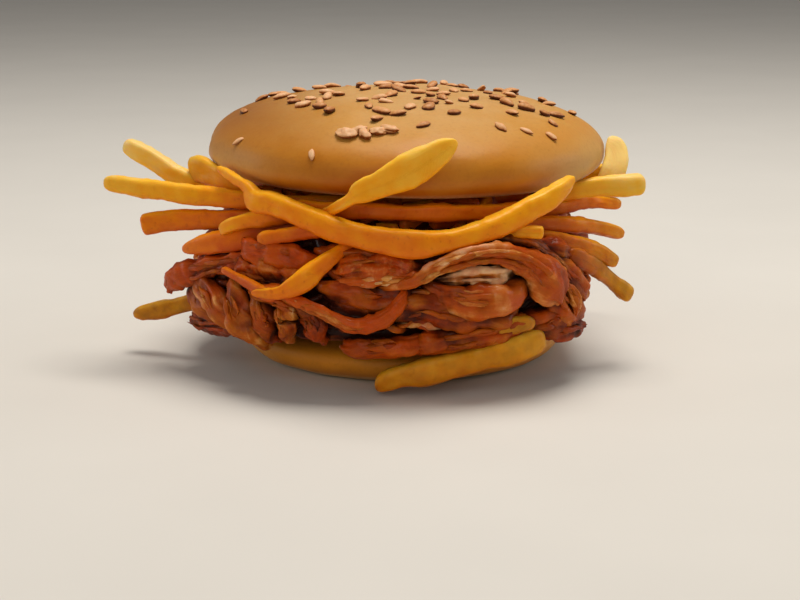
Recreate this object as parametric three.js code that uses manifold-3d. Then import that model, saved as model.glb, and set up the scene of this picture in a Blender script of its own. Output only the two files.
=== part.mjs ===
// Pulled pork sandwich: a seeded bun crown and a bun heel, with a heap of pulled pork and long
// shreds of cheddar between them. Millimetres, +Z up, origin at the centre of the heel's flat
// underside. -Y is the front of the sandwich.
import * as THREE from "three";
import { mergeVertices } from "three/addons/utils/BufferGeometryUtils.js";
import Module from "manifold-3d";

const wasm = await Module();
wasm.setup();

// Driving dimensions.
const GAP = 0.4; // room left between neighbouring pieces
// widestAt is the height of a bun half's widest circle above its flat face, flatRadius the radius of
// that face, bulge how full its dome is (2 is an ellipse), skew how far its top is pushed to +X.
const HEEL = {
  radius: 42,
  height: 12,
  widestAt: 5.5,
  flatRadius: 33,
  bulge: 2.6,
  skew: 0,
  unevenness: 0.008,
  seed: 1.3,
};
const CROWN = {
  radius: 52,
  height: 21.3,
  widestAt: 5.6,
  flatRadius: 43,
  bulge: 2.3,
  skew: 2,
  unevenness: 0.007,
  seed: 0.4,
};
const CROWN_SEAT = 48.5; // height of the crown's cut face
const CROWN_LEAN = 0.024; // radians, the right side sits lower
// droop is how far the pork hangs down outside the heel's rim, lumps how uneven a heap's side is,
// settle how much its layers rise and fall, and shift where its middle lies.
const PORK = {
  radius: 53.2,
  bottom: HEEL.height + GAP,
  top: 37.5,
  droop: 1.8,
  lumps: 2.4,
  settle: 0.9,
  shift: [-2.5, -1.5],
};
const CHEESE = { radius: 44, bottom: 31.5, top: CROWN_SEAT - GAP, lumps: 1.6, shift: [-1, 0] };
const RING_SIDES = { bun: 36, heap: 36, shred: 8 };
const STEP = 6.5; // spacing of the sections along a shred

// Cheddar shreds. Each row of a shred is x, y, z of its centreline and its width there; flat is its
// thickness as a share of its width; ends says how blunt its two ends are, from 0, a point, to 1.
// The wide side of a shred stands upright unless wideAlong gives it another direction.
const CHEESE_SHREDS = {
  long_drape: {
    flat: 0.8,
    ends: [0.2, 0.35],
    rows: [
      [-46.8, -26, 53.2, 1.8],
      [-41.9, -33, 51.6, 2.2],
      [-38.3, -37, 50.1, 3],
      [-36.2, -38.8, 47.6, 5.2],
      [-31.8, -42, 46.8, 5.6],
      [-23.5, -47.5, 44.6, 5.6],
      [-13, -52, 41.5, 5.8],
      [-1, -54.5, 39.5, 6.4],
      [9, -54, 39.5, 5.8],
      [20, -51, 42, 5.4],
      [31, -46, 46.5, 5.6],
      [38, -42, 50, 5],
      [42, -37.5, 52.5, 3.2],
    ],
  },
  left_long: {
    flat: 0.75,
    ends: [0.6, 0.5],
    rows: [
      [-77.7, -12, 47.2, 3.8],
      [-69.5, -15, 46.6, 4.6],
      [-60, -20, 46.1, 5],
      [-48, -25.5, 45.7, 5],
      [-35, -31, 45.6, 4.4],
    ],
  },
  left_rising: {
    flat: 0.8,
    ends: [0.65, 0.5],
    rows: [
      [-73, -6, 56.4, 4.4],
      [-65, -9, 52.4, 5.4],
      [-58, -11.5, 48.4, 5.4],
      [-46, -15, 45, 4.4],
    ],
  },
  left_wedge: {
    flat: 0.45,
    ends: [0.95, 0.4],
    rows: [
      [-54.8, -12, 50.3, 6.6],
      [-51.8, -15.5, 50.8, 7.2],
      [-47, -21, 50.1, 6.2],
      [-41.5, -26, 49, 4.6],
      [-36.5, -29, 47.4, 3.2],
    ],
  },
  left_broad: {
    flat: 0.6,
    ends: [0.95, 0.5],
    rows: [
      [-67.5, -18, 37.2, 6],
      [-59.5, -20, 38.7, 5.8],
      [-50, -23.5, 39.5, 5.4],
      [-41, -27.5, 40.6, 4.8],
      [-31, -29, 41, 4.4],
    ],
  },
  left_low: {
    flat: 0.75,
    ends: [0.2, 0.5],
    rows: [
      [-56.2, -25, 32, 3.2],
      [-49.5, -29.5, 34.2, 4.8],
      [-43, -33.5, 36, 5.4],
      [-34, -37, 38.6, 5.2],
      [-24, -38.5, 41, 4.6],
    ],
  },
  left_tucked: {
    flat: 0.7,
    ends: [0.4, 0.5],
    rows: [
      [-45.6, -34, 38.4, 3],
      [-41.8, -37.5, 41, 4],
      [-36, -39.5, 42.6, 4.2],
      [-27, -41, 43.6, 4],
      [-15, -43, 44, 3.6],
    ],
  },
  left_front: {
    flat: 0.75,
    ends: [0.55, 0.5],
    rows: [
      [-35.6, -43.5, 38.2, 3.2],
      [-30, -46, 39.5, 3.4],
      [-22, -47, 41, 3.4],
      [-12, -45.5, 41.6, 3.2],
    ],
  },
  leaf: {
    flat: 0.4,
    ends: [0.4, 0.7],
    rows: [
      [12.6, -57, 64.4, 3.6],
      [8, -57.5, 61.6, 5.6],
      [1, -57.5, 57.4, 7.8],
      [-5.5, -56.5, 54, 5.8],
      [-10.4, -55.2, 51.8, 5.4],
      [-12.6, -54, 50, 3],
      [-15.5, -51.5, 47.8, 2.8],
      [-19.5, -46, 44.8, 2.4],
    ],
  },
  right_flat: {
    flat: 0.75,
    ends: [0.85, 0.5],
    rows: [
      [62, -19, 47.8, 5.2],
      [54, -20.5, 47.6, 5.6],
      [45.5, -22, 47, 5.4],
      [35, -24, 45, 4],
    ],
  },
  right_pale: {
    flat: 0.4,
    wideAlong: [1, 0, 0],
    ends: [0.6, 0.6],
    rows: [
      [54.4, -6, 58.4, 3.6],
      [55.3, -8, 55.2, 5.8],
      [54.8, -10.5, 51, 6.4],
      [52.6, -12, 46.6, 5.2],
      [49, -13, 42.4, 4],
    ],
  },
  right_upper: {
    flat: 0.8,
    ends: [0.5, 0.5],
    rows: [
      [56.8, -10.5, 41.2, 3.2],
      [47, -17, 42.8, 3.8],
      [38, -25, 42.6, 3.8],
      [28, -31, 42, 3.4],
    ],
  },
  right_mid: {
    flat: 0.75,
    ends: [0.45, 0.5],
    rows: [
      [57.3, -15, 34, 3.2],
      [49, -21, 37, 4],
      [40, -28, 39, 4.2],
      [28, -35, 40, 3.8],
    ],
  },
  right_low: {
    flat: 0.8,
    ends: [0.6, 0.5],
    rows: [
      [55, -21, 27.6, 3.6],
      [48.5, -25.5, 32, 4.2],
      [39, -32.5, 35.8, 4.2],
      [25, -36, 38.2, 3.8],
    ],
  },
  right_drop: {
    flat: 0.8,
    ends: [0.75, 0.5],
    rows: [
      [59.2, -17, 17.8, 4.2],
      [53.4, -21, 23.2, 4.2],
      [48, -26, 28, 4.4],
      [41, -33, 32.8, 4.6],
    ],
  },
  right_stub: {
    flat: 0.8,
    ends: [0.95, 0.5],
    rows: [
      [35.5, -47.5, 40.6, 3.6],
      [28, -46.5, 40.8, 3.8],
      [18, -44.5, 40.6, 3.6],
    ],
  },
  under_crown: {
    flat: 0.8,
    ends: [0.5, 0.5],
    rows: [
      [-27, -36.5, 45.4, 3],
      [-14, -42, 45.4, 3.4],
      [2, -44.5, 45.2, 3.6],
      [18, -42, 45, 3.6],
      [31, -36, 44.6, 3],
    ],
  },
  low_left: {
    flat: 0.75,
    ends: [0.3, 0.5],
    rows: [
      [-72.3, -4, 10, 2.8],
      [-64.5, -6.5, 11.8, 4.6],
      [-56, -10, 14.6, 5],
      [-46, -13, 17, 4],
    ],
  },
  low_front: {
    flat: 0.75,
    ends: [0.5, 0.7],
    rows: [
      [-6.3, -49.5, 1.9, 2.6],
      [-3.6, -49.6, 3.9, 5.8],
      [3, -49.5, 5.5, 6.6],
      [14, -49, 7.9, 6.6],
      [25, -46.5, 10.1, 7],
      [33.5, -42.5, 12.2, 7.4],
    ],
  },
  sauced_front: {
    flat: 0.75,
    ends: [0.5, 0.3],
    rows: [
      [-14.3, -50, 37.4, 4.2],
      [-18.8, -52.7, 34.3, 5.6],
      [-24.1, -54.4, 30.4, 5.8],
      [-29.7, -53.4, 27.2, 4.6],
      [-35.4, -49.4, 24.8, 3],
    ],
  },
  sauced_thin: {
    flat: 0.8,
    ends: [0.4, 0.4],
    rows: [
      [-44.9, -39.4, 29.9, 1.8],
      [-38.8, -45, 28.1, 2.2],
      [-34.3, -49.4, 26.8, 2.6],
    ],
  },
  back_long: {
    flat: 0.75,
    ends: [0.6, 0.5],
    rows: [
      [60, 29, 43.5, 3.6],
      [52, 34, 42.5, 5],
      [39, 42, 41, 5.4],
      [22, 50, 40.6, 5.4],
      [4, 53, 40.4, 5.2],
      [-10, 49, 43.2, 4],
    ],
  },
  back_left: {
    flat: 0.75,
    ends: [0.6, 0.5],
    rows: [
      [-56, 46, 40, 3.6],
      [-45, 42.5, 43, 4.8],
      [-32, 34, 44.4, 5],
      [-18, 26, 44.6, 4],
    ],
  },
  back_low: {
    flat: 0.8,
    ends: [0.4, 0.5],
    rows: [
      [-38, 54, 29, 3],
      [-30, 50, 34, 4.2],
      [-20, 44, 38.8, 4.4],
      [-8, 36, 41.4, 3.6],
    ],
  },
  back_right: {
    flat: 0.8,
    ends: [0.7, 0.5],
    rows: [
      [32, 60, 33.4, 4],
      [27, 52, 37, 4.6],
      [21, 42, 40, 4.4],
      [14, 31, 42.4, 3.8],
    ],
  },
};

// Shreds of pulled pork that stand out of the heap, described in the same way.
const PORK_SHREDS = {
  left_tail: {
    flat: 0.7,
    ends: [0.5, 0.5],
    rows: [
      [-60.5, -17, 18.8, 4],
      [-58.5, -21, 23.8, 5.4],
      [-50, -28.5, 28, 5.2],
      [-40.5, -35, 31, 4.8],
      [-29, -40, 33.2, 4],
    ],
  },
  sagging_loop: {
    flat: 0.7,
    ends: [0.4, 0.4],
    rows: [
      [-28.8, -52, 26.4, 2.4],
      [-23.6, -54.5, 24.6, 2.8],
      [-19.1, -55.5, 22.9, 3],
      [-12.1, -56.5, 19.7, 3.3],
      [-6.3, -56.5, 20.5, 3.3],
      [-2.7, -56, 23, 3],
      [-0.1, -55.5, 26.3, 2.8],
    ],
  },
  arched: {
    flat: 0.6,
    ends: [0.4, 0.7],
    rows: [
      [-4, -54.6, 28.8, 2.6],
      [2.6, -55.5, 30.5, 3],
      [6.8, -55.5, 33.2, 3.6],
      [11.9, -55, 35.3, 4.2],
      [20, -53.5, 36.8, 4.6],
      [26.9, -51, 35.5, 5.6],
      [32, -48.5, 32.7, 7.6],
      [35.9, -46, 27.9, 9],
      [38.7, -43, 22.4, 9.4],
    ],
  },
  outer_arch: {
    flat: 0.6,
    ends: [0.4, 0.5],
    rows: [
      [22, -48.5, 38.6, 3],
      [29, -46, 37.4, 4],
      [34.9, -42.5, 33.8, 5],
      [40.1, -39, 29.3, 5.4],
      [44.3, -35, 24.4, 5.2],
      [46.8, -31, 20.2, 4],
    ],
  },
  curled: {
    flat: 0.7,
    ends: [0.6, 0.7],
    rows: [
      [6.9, -52, 28, 5],
      [11.2, -54, 26.6, 6.8],
      [17.5, -54, 25.4, 8.2],
      [23.4, -52, 25.3, 8.2],
      [27.6, -49.2, 26.3, 7],
    ],
  },
  right_tail: {
    flat: 0.55,
    ends: [0.15, 0.5],
    rows: [
      [46.5, -31, 13.4, 2.6],
      [40, -38, 15.4, 6.4],
      [31.5, -42, 16.8, 6],
    ],
  },
  lower_strip: {
    flat: 0.7,
    ends: [0.7, 0.6],
    rows: [
      [5.2, -51.5, 14.9, 4.6],
      [10.1, -51.3, 16.3, 5.6],
      [16.3, -50.3, 17, 5.8],
      [22.4, -48.3, 17.6, 5.6],
      [28.7, -46, 18.3, 5],
    ],
  },
  lower_fold: {
    flat: 0.7,
    ends: [0.3, 0.6],
    rows: [
      [-13, -50, 13.6, 3],
      [-7.6, -51.3, 14.2, 4.2],
      [-2, -51.8, 14.4, 4.6],
      [3, -51.8, 15, 4.2],
    ],
  },
};

// Colours and finishes.
const CRUST = new THREE.MeshStandardMaterial({ color: 0xb8803f, roughness: 0.5, metalness: 0 });
const CRUMB = new THREE.MeshStandardMaterial({ color: 0xc79a55, roughness: 0.7, metalness: 0 });
const CHEDDAR = new THREE.MeshStandardMaterial({ color: 0xe8a524, roughness: 0.4, metalness: 0 });
const MEAT = new THREE.MeshStandardMaterial({ color: 0x8f4a22, roughness: 0.35, metalness: 0 });

const sandwich = new THREE.Group();

// A slow, seamless waviness round the sandwich: angle in radians, result between about -1 and 1.
function waviness(angle, seed) {
  const slow = Math.sin(2 * angle + seed) * 0.45;
  const medium = Math.sin(5 * angle + 2.3 * seed) * 0.35;
  const quick = Math.sin(9 * angle + 4.1 * seed) * 0.2;
  return slow + medium + quick;
}

// A closed solid from rows of rings: ring i, corner j is at corner(i, j), and the first and last
// rings are closed by a fan about their middle.
function ringSolid(ringCount, sides, corner) {
  const positions = [];
  const index = [];
  for (let i = 0; i < ringCount; i++) {
    for (let j = 0; j < sides; j++) {
      positions.push(...corner(i, j));
    }
  }
  for (let i = 0; i + 1 < ringCount; i++) {
    for (let j = 0; j < sides; j++) {
      const next = (j + 1) % sides;
      const [a, b] = [i * sides + j, i * sides + next];
      const [c, d] = [a + sides, b + sides];
      index.push(a, b, d, a, d, c);
    }
  }
  for (const [ring, reversed] of [[0, true], [ringCount - 1, false]]) {
    const middle = new THREE.Vector3();
    for (let j = 0; j < sides; j++) {
      middle.add(new THREE.Vector3(...corner(ring, j)).divideScalar(sides));
    }
    const hub = positions.length / 3;
    positions.push(...middle.toArray());
    for (let j = 0; j < sides; j++) {
      const [a, b] = [ring * sides + j, ring * sides + ((j + 1) % sides)];
      index.push(...(reversed ? [b, a, hub] : [a, b, hub]));
    }
  }
  const geometry = new THREE.BufferGeometry();
  geometry.setAttribute("position", new THREE.Float32BufferAttribute(positions, 3));
  geometry.setIndex(index);
  return geometry;
}

// The solid body of a geometry, for joining and cutting.
function toSolid(geometry) {
  const bare = geometry.clone();
  bare.deleteAttribute("normal");
  bare.deleteAttribute("uv");
  const merged = mergeVertices(bare, 1e-4);
  return new wasm.Manifold(
    new wasm.Mesh({
      numProp: 3,
      vertProperties: new Float32Array(merged.attributes.position.array),
      triVerts: new Uint32Array(merged.index.array),
    }),
  );
}

// A geometry from a solid body; where a cut has left scraps, the largest piece is kept.
function toGeometry(solid) {
  const pieces = solid.decompose();
  const largest = pieces.reduce((best, piece) => (piece.volume() > best.volume() ? piece : best));
  const { numProp, numVert, vertProperties, triVerts } = largest.getMesh();
  const positions = new Float32Array(numVert * 3);
  for (let i = 0; i < numVert; i++) {
    positions.set(vertProperties.subarray(i * numProp, i * numProp + 3), i * 3);
  }
  const geometry = new THREE.BufferGeometry();
  geometry.setAttribute("position", new THREE.BufferAttribute(positions, 3));
  geometry.setIndex(new THREE.BufferAttribute(triVerts, 1));
  geometry.computeVertexNormals();
  return geometry;
}

// The outline of a bun half from the middle of its flat face to the middle of its dome: a flat face,
// a rounded lip out to the widest circle, then a dome that is fuller than an ellipse.
function bunOutline({ radius, height, widestAt, flatRadius, bulge }, grow) {
  const outline = [[0, -grow], [flatRadius * 0.6, -grow], [flatRadius, -grow]];
  const lipSteps = 3;
  for (let i = 1; i <= lipSteps; i++) {
    const turn = (i / lipSteps) * (Math.PI / 2);
    const out = flatRadius + (radius + grow - flatRadius) * Math.sin(turn);
    outline.push([out, widestAt - (widestAt + grow) * Math.cos(turn)]);
  }
  const domeSteps = 9;
  for (let i = 1; i < domeSteps; i++) {
    const turn = (i / domeSteps) * (Math.PI / 2);
    const out = (radius + grow) * Math.cos(turn) ** (2 / bulge);
    outline.push([out, widestAt + (height + grow - widestAt) * Math.sin(turn) ** (2 / bulge)]);
  }
  outline.push([0, height + grow]);
  return outline.map(([r, z]) => new THREE.Vector2(r, z));
}

// A bun half turned about +Z, with a hand-shaped unevenness in its outline and its dome pushed
// sideways by its skew.
function bunGeometry(shape, grow) {
  const turned = new THREE.LatheGeometry(bunOutline(shape, grow), RING_SIDES.bun);
  turned.rotateX(Math.PI / 2);
  const position = turned.attributes.position;
  for (let i = 0; i < position.count; i++) {
    const [x, y] = [position.getX(i), position.getY(i)];
    const swell = 1 + shape.unevenness * waviness(Math.atan2(y, x), shape.seed);
    const lean = shape.skew * Math.max(0, position.getZ(i) / shape.height);
    position.setXY(i, x * swell + lean, y * swell);
  }
  return turned;
}

function heelGeometry(grow) {
  return bunGeometry(HEEL, grow);
}

function crownGeometry(grow) {
  const geometry = bunGeometry(CROWN, grow);
  geometry.rotateY(CROWN_LEAN);
  geometry.translate(0, 0, CROWN_SEAT);
  return geometry;
}

// A shred: an eight-sided section carried along its centreline, with rounded or pointed ends.
function shredGeometry({ flat, ends, rows, wideAlong = [0, 0, 1] }, grow = 0) {
  const centreline = new THREE.CatmullRomCurve3(
    rows.map(([x, y, z]) => new THREE.Vector3(x, y, z)),
    false,
    "centripetal",
  );
  const widths = new THREE.SplineCurve(rows.map((row, i) => new THREE.Vector2(i, row[3])));
  const steps = Math.max(4, Math.round(centreline.getLength() / STEP));
  const points = Array.from({ length: steps + 1 }, (_, i) => centreline.getPoint(i / steps));
  const tangents = points.map((_, i) => centreline.getTangent(i / steps));
  return ringSolid(steps + 1, RING_SIDES.shred, (i, j) => {
    const end = Math.min(i, steps - i);
    const blunt = ends[i * 2 < steps ? 0 : 1];
    const taper = end > 0 ? 1 : 0.25 + 0.6 * blunt;
    const half = (widths.getPoint(i / steps).y / 2) * taper + grow;
    const thin = (widths.getPoint(i / steps).y / 2) * flat * taper + grow;
    const tangent = tangents[i];
    const side = new THREE.Vector3(...wideAlong).cross(tangent).normalize();
    const up = new THREE.Vector3().crossVectors(tangent, side);
    const turn = ((j + 0.5) / RING_SIDES.shred) * 2 * Math.PI;
    const reach = end > 0 ? 0 : (i === 0 ? -grow : grow);
    const corner = points[i].clone();
    corner.addScaledVector(side, thin * Math.cos(turn));
    corner.addScaledVector(up, half * Math.sin(turn));
    corner.addScaledVector(tangent, reach);
    return corner.toArray();
  });
}

// The pulled pork: a heap that sits on the heel, hangs over its edge and carries the cheese.
function porkHeapGeometry(grow = 0) {
  const { radius, bottom, top, droop, lumps, settle, shift } = PORK;
  const outline = [
    [0, bottom],
    [0.45, bottom],
    [0.84, bottom - 0.5],
    [0.9, bottom - droop],
    [0.98, bottom - droop + 1],
    [1.0, bottom + 4],
    [1.0, bottom + 10],
    [0.97, bottom + 16],
    [0.91, top - 5],
    [0.8, top - 1.5],
    [0.6, top],
    [0.3, top + 0.6],
    [0.02, top + 0.8],
  ];
  const sides = RING_SIDES.heap;
  return ringSolid(outline.length, sides, (i, j) => {
    const angle = (j / sides) * 2 * Math.PI;
    const [share, z] = outline[i];
    const r = Math.max(share * radius + lumps * waviness(angle, 0.7 + 0.35 * i) * share ** 3, 0.5);
    const height = z + settle * waviness(angle, 2.9) * share ** 2 + grow;
    return [shift[0] + r * Math.cos(angle), shift[1] + r * Math.sin(angle), height];
  });
}

// The bed of cheese shreds between the pork and the crown.
function cheeseHeapGeometry() {
  const { radius, bottom, top, lumps, shift } = CHEESE;
  const outline = [
    [0.02, bottom],
    [0.6, bottom],
    [0.92, bottom + 2],
    [1.0, bottom + 6],
    [0.99, top - 4],
    [0.96, top - 1],
    [0.9, top + 1.5],
    [0.5, top + 1.5],
    [0.02, top + 1.5],
  ];
  const sides = RING_SIDES.heap;
  return ringSolid(outline.length, sides, (i, j) => {
    const angle = (j / sides) * 2 * Math.PI;
    const [share, z] = outline[i];
    const r = share * radius + lumps * waviness(angle, 1.9 + 0.5 * i) * share ** 3;
    return [shift[0] + r * Math.cos(angle), shift[1] + r * Math.sin(angle), z];
  });
}

function addPiece(name, geometry, material) {
  const mesh = new THREE.Mesh(geometry, material);
  mesh.name = name;
  sandwich.add(mesh);
}

addPiece("bun_heel", toGeometry(toSolid(heelGeometry(0))), CRUMB);
addPiece("bun_crown", toGeometry(toSolid(crownGeometry(0))), CRUST);

// Every shred makes room for the bun and for the shreds before it, and the heaps for all of them.
const room = [toSolid(heelGeometry(GAP)), toSolid(crownGeometry(GAP))];

function addShreds(prefix, shreds, material) {
  for (const [name, shred] of Object.entries(shreds)) {
    const fitted = toSolid(shredGeometry(shred)).subtract(wasm.Manifold.union(room));
    addPiece(prefix + name, toGeometry(fitted), material);
    room.push(toSolid(shredGeometry(shred, GAP)));
  }
}

addShreds("cheese_", CHEESE_SHREDS, CHEDDAR);
addShreds("pork_", PORK_SHREDS, MEAT);

const shredRoom = wasm.Manifold.union(room);
addPiece("pork_heap", toGeometry(toSolid(porkHeapGeometry()).subtract(shredRoom)), MEAT);
const bed = toSolid(cheeseHeapGeometry()).subtract(shredRoom);
addPiece("cheese_heap", toGeometry(bed.subtract(toSolid(porkHeapGeometry(GAP)))), CHEDDAR);

export default sandwich;
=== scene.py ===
import math

import bpy
import numpy as np
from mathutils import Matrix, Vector


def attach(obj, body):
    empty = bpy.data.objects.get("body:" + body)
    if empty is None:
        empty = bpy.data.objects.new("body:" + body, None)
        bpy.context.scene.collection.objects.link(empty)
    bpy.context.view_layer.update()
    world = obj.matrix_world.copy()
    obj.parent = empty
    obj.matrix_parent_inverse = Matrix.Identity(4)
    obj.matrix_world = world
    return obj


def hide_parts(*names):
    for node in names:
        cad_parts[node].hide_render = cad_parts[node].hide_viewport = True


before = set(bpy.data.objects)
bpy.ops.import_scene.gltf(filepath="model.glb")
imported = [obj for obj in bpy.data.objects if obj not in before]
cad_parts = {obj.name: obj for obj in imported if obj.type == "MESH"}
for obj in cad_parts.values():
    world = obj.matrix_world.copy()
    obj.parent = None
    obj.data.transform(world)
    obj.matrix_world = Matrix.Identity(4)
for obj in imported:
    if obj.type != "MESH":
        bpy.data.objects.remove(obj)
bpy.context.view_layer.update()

MM = 0.001

# ---- sizes, in mm

# The bun halves: widest is how high the widest circle is, flat the radius of the flat face, bulge
# how full the dome is and skew how far its top leans over. CROWN_SEAT is the height at which the
# crown lies and CROWN_LEAN its turn, in radians.
HEEL = dict(radius=42, height=12, widest=5.5, flat=33, bulge=2.6, skew=0, unevenness=0.008, seed=1.3)
CROWN = dict(
    radius=52, height=21.3, widest=5.6, flat=43, bulge=2.3, skew=2, unevenness=0.007, seed=0.4)
CROWN_SEAT = 48.5
CROWN_LEAN = 0.024

# The cores of the two heaps, as rows of radius and height, and the middle each stands round.
CHEESE_CORE = [(1, 34), (20, 34), (31, 35), (35, 38), (35.5, 44), (34, 47), (20, 48), (1, 48)]
CHEESE_MIDDLE = (-1, 2, 0)
PORK_CORE = [(1, 13.4), (20, 13.4), (38, 13.2), (43, 12.4), (46, 13.4), (47, 17), (47, 23),
             (45.5, 29), (42, 34), (36, 36), (20, 37), (1, 37)]
PORK_MIDDLE = (-2.5, -1.5, 0)

# The strips of the cheese bed: how far out their middles and their ends may lie, how much less at
# the front, and how low and how high.
BED_STRIPS = 150
BED_MIDDLES = (27, 40)
BED_ENDS = 46.5
BED_FRONT_INSET = 4
BED_BOTTOM, BED_TOP = 36, 47.4

# The shreds laid over the pork core, whose paths are drawn on its unrolled side, LOOSE_BOTTOM above
# its lower edge or higher, in steps of LOOSE_STEP, and the single fibres over them.
LOOSE_SHREDS = 210
LOOSE_BOTTOM = 4.6
LOOSE_STEP = 1.6
THIN_STRANDS = 190

# Seeds lie within SEEDED_RADIUS of the crown's middle and SEED_GAP or more apart.
SEEDS = 84
SEEDED_RADIUS = 46
SEED_GAP = 4.2

# Shreds are widest across UPRIGHT where nothing else is said, and their ends round off by a curve
# of the power END_ROUNDNESS, of which 2 is a quarter circle.
UPRIGHT = (0, 0, 1)
END_ROUNDNESS = 2.2

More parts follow.
